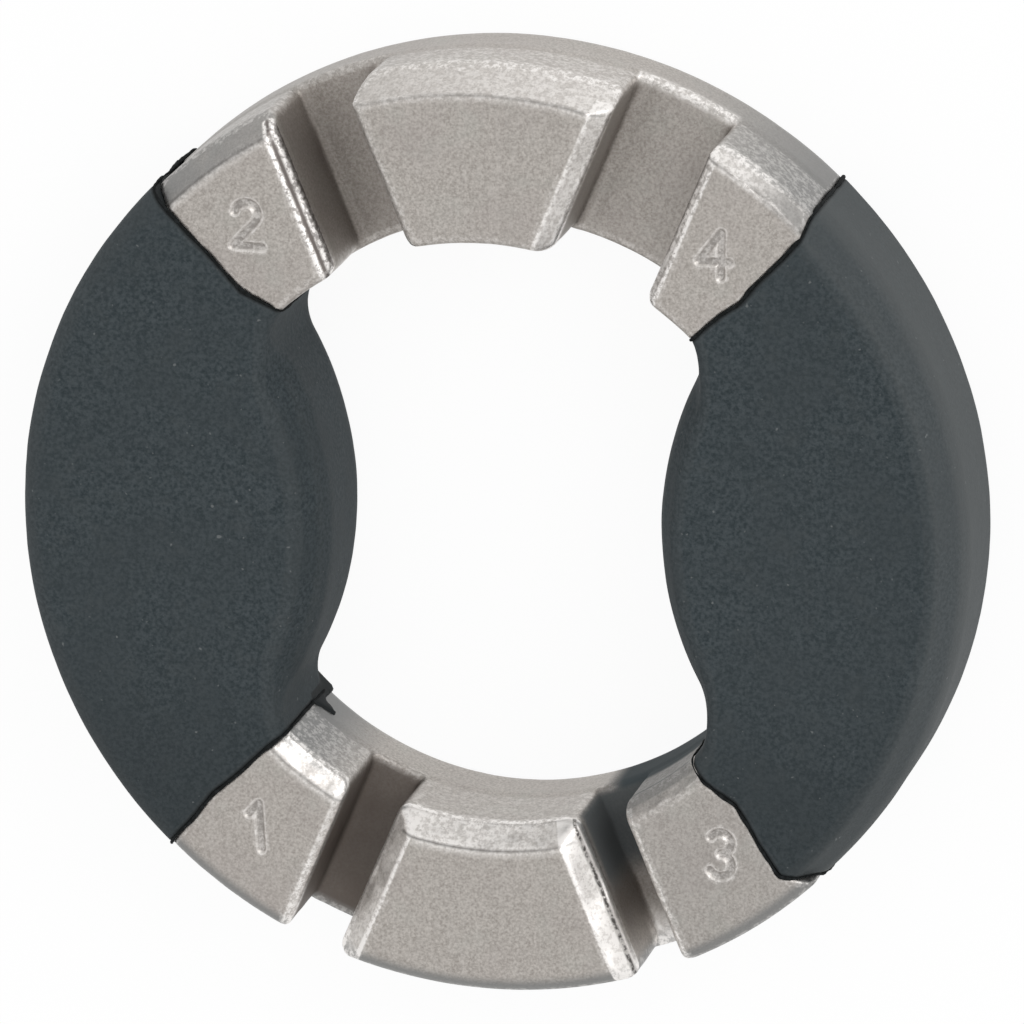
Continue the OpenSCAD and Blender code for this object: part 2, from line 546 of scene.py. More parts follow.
# %% [markdown]
# ## From distances to a mesh
# A surface net lays a grid over the shape, puts one vertex in every grid cell
# that the surface crosses, and joins the cells round every crossed grid edge by
# a four-sided face. Then each vertex slides along the slope of the distance
# until it lies on the surface. A Remesh modifier makes such nets too, but on an
# even, square grid. This one follows the ring, with angles, radii and heights,
# and is finer where a number is stamped.

# %% Grid edges that the surface crosses
def crossings(value, lines, axis):
    """The crossed grid edges along one axis: each one's cell, the spot in angle,
    radius and height where the surface crosses it, and whether it leaves there"""
    others = [other for other in range(3) if other != axis]
    low = np.moveaxis(value, axis, 0)[:-1]
    high = np.moveaxis(value, axis, 0)[1:]
    crossed = (low < 0) != (high < 0)
    where = np.argwhere(crossed)
    index = np.zeros((len(where), 3), int)
    index[:, [axis] + others] = where
    spot = np.stack([line[cell] for line, cell in zip(lines, index.T)], 1)
    share = low[crossed] / (low[crossed] - high[crossed])
    spot[:, axis] += share * np.diff(lines[axis])[index[:, axis]]
    cells = [count - 1 for count in value.shape]
    keep = np.ones(len(where), bool)
    for other in others:
        keep &= index[:, other] < cells[other]
        if other > 0:
            keep &= index[:, other] > 0
    return index[keep], spot[keep], (low[crossed] < 0)[keep]


print("crossings ready")

# %% Surface net
def net_from(distance, turns, radii, heights):
    """Vertices and faces of the surface. The grid closes on itself in angle."""
    grid_t, grid_r, grid_z = np.meshgrid(turns, radii, heights, indexing="ij")
    flat = [(grid_r * np.cos(grid_t)).ravel(), (grid_r * np.sin(grid_t)).ravel(), grid_z.ravel()]
    value = distance(*flat, detailed=False)
    near = np.abs(value) < 0.9
    value[near] = distance(*[axis[near] for axis in flat])
    value = value.reshape(grid_t.shape)
    value = np.concatenate([value, value[:1]])
    lines = [np.append(turns, turns[0] + 2 * math.pi), radii, heights]
    cells = tuple(count - 1 for count in value.shape)
    crossed = [crossings(value, lines, axis) for axis in range(3)]

    total = np.zeros(cells + (3,))
    count = np.zeros(cells)
    for axis, (index, spot, leaving) in enumerate(crossed):
        others = [other for other in range(3) if other != axis]
        for back in itertools.product((0, 1), repeat=2):
            around = index.copy()
            shifted = spot.copy()
            around[:, others] -= back
            wrapped = around[:, 0] < 0
            around[wrapped, 0] += cells[0]
            shifted[wrapped, 0] += 2 * math.pi
            key = tuple(around.T)
            np.add.at(total, key, shifted)
            np.add.at(count, key, 1)
    used = count > 0
    turn, radius, z = (total[used] / count[used][:, None]).T
    points = np.stack([radius * np.cos(turn), radius * np.sin(turn), z], 1)

    number = np.full(cells, -1)
    number[used] = np.arange(used.sum())
    faces = []
    for axis, (index, spot, leaving) in enumerate(crossed):
        others = [(axis + 1) % 3, (axis + 2) % 3]
        corners = []
        for back in ((1, 1), (0, 1), (0, 0), (1, 0)):
            around = index.copy()
            around[:, others] -= back
            around[:, 0] %= cells[0]
            corners.append(number[tuple(around.T)])
        quads = np.stack(corners, 1)
        quads[leaving] = quads[leaving][:, ::-1]
        faces.append(quads)
    return points, np.concatenate(faces)


print("surface net ready")

# %% On to the surface, and how it bends there
def each_way(distance, points, reach):
    """The distance a little ahead of and a little behind each point, per axis"""
    for axis in range(3):
        step = np.zeros(3)
        step[axis] = reach
        yield distance(*(points + step).T), distance(*(points - step).T)


def settle(distance, points, rounds=3):
    """Slides points along the slope of the distance on to the surface"""
    reach = 0.02
    for _ in range(rounds):
        pairs = each_way(distance, points, reach)
        way = np.stack([(ahead - behind) / (2 * reach) for ahead, behind in pairs], 1)
        steep = np.maximum((way ** 2).sum(1), 0.2)
        move = distance(*points.T) / steep
        points = points - np.clip(move, -0.15, 0.15)[:, None] * way
    return points


def bend_of(distance, points, reach=0.35):
    """How sharply the surface bends at each point: above zero on outer edges"""
    total = -6 * distance(*points.T)
    for ahead, behind in each_way(distance, points, reach):
        total = total + ahead + behind
    return total / reach ** 2


print("settling ready")

# %% Pieces with values for their finish
def piece_from(name, points, faces, values):
    """An object whose mesh keeps each array of values as an attribute"""
    mesh = bpy.data.meshes.new(name)
    mesh.from_pydata((points * MM).tolist(), [], faces.tolist())
    for key, column in values.items():
        attribute = mesh.attributes.new(key, "FLOAT", "POINT")
        attribute.data.foreach_set("value", column.astype(np.float32))
    mesh.shade_smooth()
    mesh.validate()
    mesh.update()
    return add_object(name, mesh)


def spaced(start, end, step):
    """Even values about a step apart, from the start to just before the end"""
    return list(np.linspace(start, end, max(2, int(round((end - start) / step)) + 1)))[:-1]


print("spaced from 0 to 1:", [float(value) for value in spaced(0, 1, 0.5)])

# %% [markdown]
# ## Mesh of the ring
# The grid is fine over the two arcs that show and coarse inside the grips,
# where the bar is plain and nobody sees it. Besides its shape, each vertex
# keeps a few values for the finish: how sharply the surface bends there, how
# far across a slot's mouth it lies, how much each edge is rubbed bright and given
# painted highlight, where painted shade falls, how much brown film with painted
# shade it keeps, and how much dark slate. A painted image could hold the same,
# but it would need unwrapping, and the distances are here already.

# %% Ring
SHOWN_ARCS = ((44, 136), (224, 316))
COVERED_ARC = 88
NUMBER_SPAN = 4.2  # degrees to either side of a number's middle
PLAIN_STEP, NUMBER_STEP, COVERED_STEP = 0.58, 0.29, 2.4


def ring_turns():
    numbers = sorted(float(turn_of(*place)) for place, strokes in NUMBERS.values())
    degrees = []
    for start, end in SHOWN_ARCS:
        done = start
        for number in numbers:
            if start < number < end:
                low = max(done, number - NUMBER_SPAN)
                high = min(end, number + NUMBER_SPAN)
                if low > done:
                    degrees += spaced(done, low, PLAIN_STEP)
                degrees += spaced(low, high, NUMBER_STEP)
                done = high
        degrees += spaced(done, end, PLAIN_STEP) + spaced(end, end + COVERED_ARC, COVERED_STEP)
    return np.radians(sorted(value % 360 for value in degrees))


turns = ring_turns()
radii = np.array(spaced(19.4, 24.2, 0.31) + spaced(24.2, 28.4, 0.15) + spaced(28.4, 32.9, 0.26))
heights = np.array(spaced(-0.5, 10.0, 0.36) + spaced(10.0, 12.1, 0.14) + [12.1, 12.4])
points, faces = net_from(ring_distance, turns, radii, heights)
points = settle(ring_distance, points)
print("ring mesh:", len(points), "vertices,", 2 * len(faces), "triangles")

# %% Where the ring is rubbed bright with painted highlight, and where painted shade falls
# polar angle, then how bright the rim's and the bore's front edge are there,
# rubbed bright with painted highlight, and how much painted shade darkens the
# rim's edge and the rim's wall
ZONES = [
    (40, 0.1, 0.1, 0.65, 0.8), (50, 0.2, 0.1, 0.6, 0.75), (57, 0.95, 0.15, 0.1, 0.55),
    (66, 0.55, 0.1, 0, 0.15), (74, 0.78, 0.05, 0, 0), (90, 0.56, 0.05, 0, 0),
    (104, 0.35, 0.05, 0.1, 0.1), (112, 0.05, 0.05, 0.4, 0.2), (136, 0, 0.1, 0.8, 0.4),
    (222, 0.05, 0.7, 0.8, 0.7), (246, 0.05, 0.7, 0.8, 0.7), (250, 0.05, 1, 0.8, 0.7),
    (270, 0.05, 1, 0.8, 0.7), (288, 0.05, 0.6, 0.8, 0.7), (296, 0.05, 0.1, 0.8, 0.7),
    (318, 0.05, 0.25, 0.8, 0.7),
]


def edge_looks(points):
    """The looks that follow the ring's two front edges, its rim and its numbers"""
    x, y, z = points.T
    radius = np.hypot(x, y)
    turn = turn_of(x, y)
    angles, *rows = np.array(ZONES).T
    rim_edge, bore_edge, painted_shade, painted_wall_shade = [np.interp(turn, angles, row) for row in rows]
    edges = edges_at(x, y)
    rim_in, _, _, bore_in, _, _ = edges
    rim_flat, bore_flat = front_flats(x, y, z, edges)
    outer = radius > MIDDLE_R
    top = smooth_step(z, THICKNESS - 1.0, THICKNESS - 0.5)

    # the edges rubbed bright, partly wear and partly painted highlight
    wear_and_highlight = rim_edge * smooth_step(rim_flat, -0.4, -0.05)
    wear_and_highlight = wear_and_highlight + bore_edge * smooth_step(bore_flat, -0.4, -0.05)
    upper_wall = smooth_step(radius, RIM_R - 0.30, RIM_R - 0.12) * smooth_step(z, 2, 6)
    past_crease = radius - RIM_R + rim_in
    pale_crease = hump(past_crease, -0.25, 0.2) * between(turn, 114, 120, 139, 140)
    wear_and_highlight = np.maximum(wear_and_highlight, 0.2 * rim_edge * upper_wall * smooth_step(turn, 62, 70))
    wear_and_highlight = np.maximum(wear_and_highlight, 0.5 * pale_crease * top)

    # painted shade on the lower rim edge, the rim's walls and the bore beside the smear
    low_edge = (y < 0) * smooth_step(radius, RIM_R - 1.4, RIM_R - 0.6)
    by_smear = between(turn, 210, 222, 230, 246) * (radius < BORE_R + 0.6)
    far, none = np.full(len(points), FAR), np.zeros(len(points))
    return {
        "bend": bend_of(ring_distance, points),
        "wear_and_highlight": wear_and_highlight,
        # painted shade: a dark line along the crease where each front flat meets the face
        "crease": np.where(outer, -past_crease, radius - BORE_R - bore_in),
        "crease_share": np.where(outer, np.maximum(rim_edge, painted_shade * (y > 0)), bore_edge) * top,
        "painted_shade": np.maximum.reduce([
            painted_shade * np.maximum(smooth_step(rim_flat, -0.3, 0), low_edge),
            painted_wall_shade * smooth_step(radius, RIM_R - 0.5, RIM_R - 0.1),
            0.85 * by_smear,
            0.14 * between(turn, 294, 296, 325, 330),
        ]),
        "inner_lip": far, "outer_lip": far, "mouth_highlight_and_shade": none, "outline": none,
        "film_and_shade": none, "slate": none,
        # where the numbers get painted highlight on their rims and painted shade in their grooves
        "stamp": stamp_shade(x, y, z),
    }


print("edges read in", len(ZONES), "zones")

# %% Where the slots keep their brown film and painted shade
# for each slot: brown film with painted shade on its floor and on its walls, how
# bright its floor's rim end is with painted highlight, then painted highlight and
# bright painted lines along its mouth, first anticlockwise and then clockwise.
# Below zero they mean painted shade and dark lines.
SLOT_LOOKS = [
    (0.95, 1.0, 0.1, 0.55, 0.8, 0.60, 0.1),
    (0.30, 0.65, 0.0, -1.0, 1.0, 0.10, 0.1),
    (0.35, 0.60, 1.0, 0.40, 0.2, 1.40, -1.0),
    (0.10, 0.55, 0.7, 0.75, 0.2, -0.35, 1.0),
]


def dress_slot(looks, points, slot, slot_looks):
    """Writes one slot's mouth, walls and floor into the ring's looks"""
    angle, width, *flat_widths = slot
    floor_film_and_shade, wall_film_and_shade, rim_end, *sides = slot_looks
    x, y, z = points.T
    radius = np.hypot(x, y)
    _, across, along = slot_hollow(x, y, z, angle, width)
    past_wall = np.abs(across) - width / 2
    leg = np.where(across > 0, *flat_widths)
    close = (along > 0) & (past_wall < 3)

    def put(name, here, value):
        looks[name] = np.where(here, value, looks[name])

    # painted highlight and painted shade on the mouth's flat, and painted light and dark lines
    # along it
    mouth = close & (z > THICKNESS - leg - 0.3)
    put("inner_lip", mouth, past_wall)
    put("outer_lip", mouth, past_wall - leg)
    put("mouth_highlight_and_shade", mouth, np.where(across > 0, sides[0], sides[2]))
    put("outline", mouth, np.where(across > 0, sides[1], sides[3]))

    inside = close & (past_wall < 0.25) & (z > FLOOR_Z - 1.0)
    keeps_slate = angle == LOWER_RIGHT
    in_band = between(radius, BORE_R - 0.1, BORE_R + 0.8, RIM_R - 0.9, RIM_R)
    below = smooth_step(-z, leg + 0.2 - THICKNESS, leg + 1.3 - THICKNESS)
    wall = smooth_step(past_wall, -0.6, -0.1)
    # brown film with painted shade, from the mouth down and darker on the walls
    film_and_shade = (floor_film_and_shade + (wall_film_and_shade - floor_film_and_shade) * wall) * below * in_band
    # painted highlight at the floor's open end by the rim, where the film stops
    ending = smooth_step(radius, 28.6 if keeps_slate else 31.1, 31.5)
    ending = ending * between(z, FLOOR_Z - 0.9, FLOOR_Z - 0.3, FLOOR_Z + 0.8, FLOOR_Z + 1.5)
    if keeps_slate:
        film_and_shade = film_and_shade * (1 - 0.9 * smooth_step(radius, 27.5, 30.5))
        near_bore = smooth_step(-radius, -27.0, -24.8) * smooth_step(radius, BORE_R, BORE_R + 0.6)
        put("slate", inside, 0.85 * below * near_bore)
    put("film_and_shade", inside, film_and_shade * (1 - rim_end * ending))
    put("wear_and_highlight", inside, np.maximum(looks["wear_and_highlight"], rim_end * ending))


def ring_looks(points):
    looks = edge_looks(points)
    for slot, slot_looks in zip(SLOTS, SLOT_LOOKS):
        dress_slot(looks, points, slot, slot_looks)
    # the bore's wall beside the lower right slot: slate, most of it low down, and a line
    x, y, z = points.T
    beside = between(turn_of(x, y), 288, 293, 311, 316) * (np.hypot(x, y) < BORE_R + 0.6)
    strip = 0.45 + 0.55 * smooth_step(-z, -6.6, -5.6)
    ledge = 0.9 * hump(z, 9.9, 0.22)
    looks["slate"] = np.maximum(looks["slate"], beside * np.maximum(strip, ledge))
    return looks


looks = ring_looks(points)
cast_ring = piece_from("cast_ring", points, faces, looks)
print("values kept for the finish:", ", ".join(looks))

# %% [markdown]
# ## The grips
# Firm rubber was moulded round the thin bar and fills the ring's band out again,
# a little proud of the metal. Towards the middle it swells into the bore. In
# plan the swell is part of a disc, with a bevel along its front edge, and it
# runs into the plain bore with a soft fillet near each end. Neither swell sits
# quite level: the left one lies a little low and the right one a little high.
# The fillets and ragged ends come most easily from distances, as on the ring.

# %% Shape of the grips
GRIP_T = THICKNESS + 0.04
GRIP_BORE_R = BORE_R - 0.02
# middle of each swell's disc in x and y, and its radius
LEFT_SWELL = (-35.66, -0.75, 24.36)
RIGHT_SWELL = (34.24, 1.0, 22.94)
# at each rim, how far in and how far down its flat runs, and the radius there
LEFT_RIM = (0.3, 0.3, 1.6)
RIGHT_RIM = (1.6, 3.4, 0.4)


def past_swell(x, y, swell):
    middle_x, middle_y, swell_r = swell
    return np.hypot(x - middle_x, y - middle_y) - swell_r


def grip_skin(x, y, z):
    """A grip's outside, as if it had no ends and no bar in it"""
    radius = np.hypot(x, y)
    on_right = x > 0
    past_front = z - GRIP_T
    past_faces = np.abs(z - GRIP_T / 2) - GRIP_T / 2
    past_rim = radius - RIM_R - PROUD
    leg_in, leg_down, rim_round = [np.where(on_right, *pair) for pair in zip(RIGHT_RIM, LEFT_RIM)]
    outside = both_of(past_rim, past_faces, np.where(z < 6, BACK_ROUND, rim_round))
    outside = both_of(outside, past_flat(past_rim, past_front, leg_in, leg_down), 0.5)

    past_bore = GRIP_BORE_R - radius
    past_disc = np.where(on_right, past_swell(x, y, RIGHT_SWELL), past_swell(x, y, LEFT_SWELL))
    past_plan = either_of(past_bore, past_disc, 2.2)
    swollen = smooth_step(past_bore, 0.0, 3.0)
    bevel = past_flat(past_plan, past_front, 0.4 + 1.2 * swollen, 0.5 + 2.5 * swollen)
    inside = both_of(past_plan, past_faces, 0.6)
    inside = both_of(inside, bevel, 0.6)
    inside = both_of(inside, past_flat(past_plan, -z, 0.8, 0.8), 0.9)
    return np.maximum(outside, inside)


def smear(x, y, z):
    """Rubber squeezed out over the bore's wall at the left grip's lower end"""
    turn = turn_of(x, y)
    past_turn = (turn - 228.3) * BORE_R * math.pi / 180 + 0.2 * edge_lumps.at(x, y, z)
    past_turn = past_turn - 1.3 * hump(z, 3.3, 0.5)
    patch = both_of(np.maximum(past_turn, 217 - turn), np.abs(z - 2.1) - 2.1, 0.4)
    return both_of(patch, np.abs(np.hypot(x, y) - BORE_R - 0.25) - 0.42, 0.1)


def grip_distance(x, y, z, detailed=True):
    body = grip_skin(x, y, z)
    if detailed:
        body = body + 0.03 * wide_lumps.at(x, y, z) + 0.01 * fine_lumps.at(x, y, z)
    body = both_of(body, -past_end(x, y), 0.22)
    body = np.minimum(body, smear(x, y, z))
    return np.maximum(body, -bar(np.hypot(x, y), z, 0.02))


print("the right swell's tip:", round(RIGHT_SWELL[0] - RIGHT_SWELL[2], 2), "mm from the axis")

# %% Grips
grip_radii = np.array(spaced(9.4, 33.2, 0.3) + [33.2])
grip_heights = np.array(spaced(-0.5, 12.4, 0.3) + [12.4])


def grip_from(name, facing):
    """One grip, round the direction that it faces in degrees"""
    grip_turns = np.radians(facing + np.array(spaced(-49, 56, 0.6) + [56]))
    points, faces = net_from(grip_distance, grip_turns, grip_radii, grip_heights)
    points = settle(grip_distance, points)
    x, y, z = points.T
    radius = np.hypot(x, y)
    on_bevel = smooth_step(radius, RIM_R - 1.7, RIM_R - 1.2)
    on_wall = smooth_step(radius, RIM_R - 0.3, RIM_R)
    print(name, len(points), "vertices,", 2 * len(faces), "triangles")
    return piece_from(name, points, faces, {
        "bend": bend_of(grip_distance, points),
        # painted shade near the rubber's ends and on the smear makes them nearly black
        "end": np.maximum(smooth_step(-past_end(x, y), -1.2, 0), smear(x, y, z) < 0.15),
        # painted highlight on the right grip's outer bevel and wall
        "right_edge_highlight": (x > 0) * 0.5 * (on_bevel + on_wall),
    })


left_grip = grip_from("left_grip_rubber", 180)
right_grip = grip_from("right_grip_rubber", 0)

# %% [markdown]
# ## Flash at the ends of the rubber
# Where the mould closed on the metal, a little rubber was squeezed out. It runs
# round all four ends as a thin, lumpy bead. A bead follows a path, so Geometry
# Nodes make it: noise moves the path, noise changes its thickness, and a small
# round profile is swept along it.

# %% Paths of the flash
def on_end_line(path, side, above):
    """Turns each point about the axis until it lies on the end of the rubber"""
    x, y, z = path.T
    radius = np.hypot(x, y)
    angle = np.arctan2(np.abs(y), np.abs(x)) + past_end(x, y) / radius
    return np.stack([side * radius * np.cos(angle), above * radius * np.sin(angle), z], 1)


def end_path(side, above, count=150):
    """The line round the ring's band where one grip ends, in millimetres"""
    corners = [(BORE_R, 0.0), (RIM_R, 0.0), (RIM_R, GRIP_T), (BORE_R, GRIP_T)]
    outline = []
    for (from_r, from_z), (to_r, to_z) in zip(corners, corners[1:] + corners[:1]):
        for share in np.linspace(0, 1, 40)[:-1]:
            outline.append((from_r + share * (to_r - from_r), from_z + share * (to_z - from_z)))
    radius, height = np.array(outline).T
    angle = math.radians(45)
    path = np.stack([side * radius * math.cos(angle), above * radius * math.sin(angle), height], 1)
    for _ in range(6):
        path = on_end_line(settle(grip_skin, path, 2), side, above)
    gaps = np.linalg.norm(np.diff(path, axis=0, append=path[:1]), axis=1)
    steps = np.append(0, np.cumsum(gaps))
    closed = np.concatenate([path, path[:1]])
    even = np.linspace(0, steps[-1], count, endpoint=False)
    return np.stack([np.interp(even, steps, column) for column in closed.T], 1)


def path_object(name, loops):
    """An object of edges alone, with one closed loop for each array of points"""
    mesh = bpy.data.meshes.new(name)
    edges = []
    for loop in loops:
        start = len(edges)
        edges += [(start + i, start + (i + 1) % len(loop)) for i in range(len(loop))]
    mesh.from_pydata((np.concatenate(loops) * MM).tolist(), edges, [])
    return add_object(name, mesh)


left_path = path_object("left_flash_path", [end_path(-1, 1), end_path(-1, -1)])
right_path = path_object("right_flash_path", [end_path(1, 1), end_path(1, -1)])
print("flash paths of", len(left_path.data.vertices), "points each")

# %% A node tree that sweeps a lumpy bead
def bead_tree():
    tree = bpy.data.node_groups.new("lumpy bead", "GeometryNodeTree")
    for name, kind, value in (
        ("Path", "Geometry", None), ("Rubber", "Material", None), ("Seed", "Int", 7),
        ("Bead radius", "Float", 0.10 * MM), ("Wander", "Float", 0.25 * MM),
        ("Lump length", "Float", 1.3 * MM),
    ):
        given = tree.interface.new_socket(name, in_out="INPUT", socket_type="NodeSocket" + kind)
        if value:
            given.default_value = value
    tree.interface.new_socket("Bead", in_out="OUTPUT", socket_type="NodeSocketGeometry")

    def add(kind, sockets, output=0, **settings):
        """Adds a node, links or sets its sockets and returns one output"""
        node = tree.nodes.new(kind)
        for key, value in settings.items():
            setattr(node, key, value)
        for key, value in sockets.items():
            if isinstance(value, bpy.types.NodeSocket):
                tree.links.new(value, node.inputs[key])
            else:
                node.inputs[key].default_value = value
        return node.outputs[output] if node.outputs else None

    given = tree.nodes.new("NodeGroupInput").outputs
    curve = add("GeometryNodeMeshToCurve", {"Mesh": given["Path"]})
    frequency = add("ShaderNodeMath", {0: 1.0, 1: given["Lump length"]}, operation="DIVIDE")

    # noise moves the path to all sides of its place
    noise = {"Scale": frequency, "W": given["Seed"]}
    colour = add("ShaderNodeTexNoise", noise, "Color", noise_dimensions="4D")
    centred = add("ShaderNodeVectorMath", {0: colour, 1: (0.5, 0.5, 0.5)}, operation="SUBTRACT")
    shift = add("ShaderNodeVectorMath", {0: centred, "Scale": given["Wander"]}, operation="SCALE")
    moved = add("GeometryNodeSetPosition", {"Geometry": curve, "Offset": shift})

    # other noise makes the bead thin in one place and thick in another
    noise["W"] = add("ShaderNodeMath", {0: given["Seed"], 1: 11.3}, operation="ADD")
    lumps = add("ShaderNodeTexNoise", noise, "Fac", noise_dimensions="4D")
    share = add("ShaderNodeMapRange", {
        "Value": lumps, "From Min": 0.3, "From Max": 0.7, "To Min": 0.35, "To Max": 1.7,
    })

    ring = {"Resolution": 10, "Radius": given["Bead radius"]}
    profile = add("GeometryNodeCurvePrimitiveCircle", ring, "Curve")
    swept = add("GeometryNodeCurveToMesh", {
        "Curve": moved, "Profile Curve": profile, "Scale": share,
    })
    smooth = add("GeometryNodeSetShadeSmooth", {0: swept})
    real = add("GeometryNodeRealizeInstances", {0: smooth})
    dressed = add("GeometryNodeSetMaterial", {"Geometry": real, "Material": given["Rubber"]})
    add("NodeGroupOutput", {"Bead": dressed})
    return tree


bead = bead_tree()
print("bead tree with", len(bead.nodes), "nodes")

# %% [markdown]
# ## Satin nickel over a casting
# The metal is plated, but the casting's fine grain shows through and scatters
# its shine. The flats along its edges are rubbed bright in broken patches, partly
# wear and partly painted highlight, and the slots' mouths and the numbers carry
# painted highlight and painted shade. Painted shade darkens the lower edges, the
# side walls, the bore beside the smear and a line along each flat. The slots keep
# a brown film with painted shade, and one of them is dark slate inside. Where
# each of these lies comes from the mesh. The grain comes from noise in the
# object's own space, which has no seams and looks the same from every side, as an
# image would not.

# %% Nickel finish
def nickel_finish():
    finish = Finish("satin_nickel")
    place = finish.place()
    (
        bend, wear_and_highlight, crease, crease_share, painted_shade, inner_lip, outer_lip,
        mouth_highlight_and_shade, outline, film_and_shade, slate, stamp,
    ) = [finish.attribute(name) for name in looks]
    stretch = {"operation": "MULTIPLY"}
    drawn_out = finish.node("ShaderNodeVectorMath", stretch, [place, (1, 0.14, 0.5)])

    cloud = finish.noise(place, 5.0, 3.0)
    tint = finish.noise(place, 2.2, 2.0)
    grain = finish.noise(place, 0.17, 3.0, 0.65)
    streak = finish.noise(drawn_out, 0.24, 2.0, 0.5)
    broken = finish.noise(place, 0.38, 4.0, 0.75)

    def line(distance, level, sharpness):
        """A thin line where the distance is zero"""
        return (level - sharpness * distance.size()).at_least(0).at_most(1.0)

    # painted highlight where the metal is rubbed bright, on the mouths and on bends, and painted
    # shade where it is dark
    patchy = 0.42 + 0.58 * broken.step(0.40, 0.60)
    in_dashes = 0.25 + 0.75 * broken.step(0.40, 0.55)
    on_mouth = inner_lip.step(-0.12, 0.05) * (1 - outer_lip.step(-0.05, 0.12))
    bright = (wear_and_highlight + on_mouth * mouth_highlight_and_shade.at_least(0)) * patchy
    # painted highlight lines along the mouths' edges
    mouth_lines = line(inner_lip - 0.28, 1.5, 7) + line(outer_lip + 0.08, 1.5, 7)
    bright = bright + mouth_lines * in_dashes * outline.at_least(0)
    bright = bright + 0.3 * bend.step(0.8, 1.6) * broken.step(0.45, 0.60) * (1 - crease_share)
    bright = bright.at_most(1.0)
    # painted shade: dark lines along the creases and under some mouths
    dark_line = 0.7 * (1 - 6 * crease.size()).at_least(0) * crease_share
    dark_line = dark_line + line(inner_lip - 0.4, 1.4, 8) * in_dashes * (-1 * outline).at_least(0)
    shaded_mouth = on_mouth * (-1 * mouth_highlight_and_shade).at_least(0)

    hollow, raised = (0.325, 0.298, 0.272, 1), (0.580, 0.545, 0.508, 1)
    tone = finish.layers(finish.mix(grain.step(0.25, 0.75), hollow, raised), [
        # streaks, clouds, a greenish tint and painted shade
        (streak.step(0.45, 0.75) * 0.22, (0.60, 0.57, 0.54)),
        (cloud.step(0.40, 0.75) * 0.25, (0.40, 0.358, 0.342)),
        (tint.step(0.50, 0.80) * 0.20, (0.47, 0.48, 0.44)),
        (painted_shade, (0.20, 0.205, 0.205)),
        # the numbers: painted highlight on their rims and painted shade in their grooves
        (stamp.step(0.15, 0.45) * 0.65 * patchy, (0.84, 0.81, 0.78)),
        (stamp.step(0.80, 1.00) * 0.55 * (1.42 - patchy), (0.15, 0.135, 0.125)),
        # painted shade on dark mouths, rubbed edges with painted highlight, painted dark lines of
        # shade, then the slots' brown film with painted shade and the dark slate
        (shaded_mouth, (0.17, 0.15, 0.14)),
        (bright * 0.95, (0.97, 0.94, 0.91)),
        (dark_line.at_most(0.95), (0.05, 0.044, 0.04)),
        ((film_and_shade * (0.75 + 0.4 * cloud)).at_most(1.0) * 0.92, (0.13, 0.105, 0.088)),
        (slate, (0.062, 0.076, 0.082)),
    ])
    return finish.surface({
        "Base Color": tone,
        "Metallic": 0.9 - 0.25 * film_and_shade - 0.85 * slate,
        "Roughness": 0.46 + 0.16 * (grain - 0.5) + 0.14 * film_and_shade + 0.45 * slate - 0.10 * bright,
        "Normal": finish.bump(0.45, 0.04, 0.4 * broken + 0.6 * grain),
    })


nickel = nickel_finish()
cast_ring.data.materials.append(nickel)
print("nickel finish with", len(nickel.node_tree.nodes), "nodes")

# %% [markdown]
# ## Moulded rubber
# The rubber is a dark slate, nearly matt. A fine blasted texture from the mould
# gives it a soft sheen, and handling has left faint pale scuffs and specks. The
# right grip's outer edge and wall get a painted highlight, the bends are a little
# lighter, the lower end gets painted shade, and painted shade makes the ends by
# the metal nearly black. Noise makes the texture, scuffs and specks, for the same
# reason as on the metal. The squeezed-out lip gets a plainer finish, blackened by
# painted shade.

# %% Rubber finish
def rubber_finish():
    finish = Finish("moulded_rubber")
    place = finish.place()
    bend, end, right_edge_highlight = [finish.attribute(name) for name in ("bend", "end", "right_edge_highlight")]

    cloud = finish.noise(place, 6.0, 3.0)
    patch = finish.noise(place, 1.6, 4.0, 0.6)
    grain = finish.noise(place, 0.25, 2.0, 0.6)
    speck = finish.noise(place, 0.42, 1.0, 0.5)
    up_the_face = finish.node("ShaderNodeSeparateXYZ", None, [place], output="Y")

    hollow, raised = (0.017, 0.0260, 0.0300, 1), (0.052, 0.0640, 0.0700, 1)
    tone = finish.layers(finish.mix(grain.step(0.25, 0.75), hollow, raised), [
        (cloud.step(0.35, 0.70) * 0.5, (0.034, 0.0425, 0.0465)),
        (patch.step(0.48, 0.75) * 0.30, (0.052, 0.060, 0.062)),
        # painted shade, darker towards the lower end
        (0.45 - 0.45 * up_the_face.step(-24 * MM, -6 * MM), (0.017, 0.022, 0.024)),
        # painted highlight on the right grip's outer edge and wall, bends a little lighter, pale
        # specks, and painted shade that makes the ends nearly black
        (right_edge_highlight * 0.5, (0.095, 0.100, 0.100)),
        (bend.step(0.3, 1.0) * 0.12, (0.085, 0.090, 0.090)),
        (speck.step(0.74, 0.82) * 0.5, (0.18, 0.19, 0.19)),
        (end.step(0.75, 1.0) * 0.8, (0.008, 0.009, 0.009)),
    ])
    return finish.surface({
        "Base Color": tone,
        "Specular IOR Level": 0.25,
        "Roughness": 0.74 + 0.16 * (grain - 0.5) + 0.08 * (patch - 0.5),
        "Normal": finish.bump(0.6, 0.05, 0.4 * patch + 0.6 * grain),
    })


def lip_finish():
    """The thin squeezed-out lip, more matt than the moulded skin and blackened by painted shade"""
    finish = Finish("squeezed_rubber_shaded")
    grain = finish.noise(finish.place(), 0.3, 2.0, 0.6)
    hollow, raised = (0.005, 0.006, 0.006, 1), (0.014, 0.016, 0.017, 1)
    return finish.surface({
        "Base Color": finish.mix(grain.step(0.4, 0.7), hollow, raised),
        "Specular IOR Level": 0.15,
        "Roughness": 0.75 + 0.2 * grain,
    })


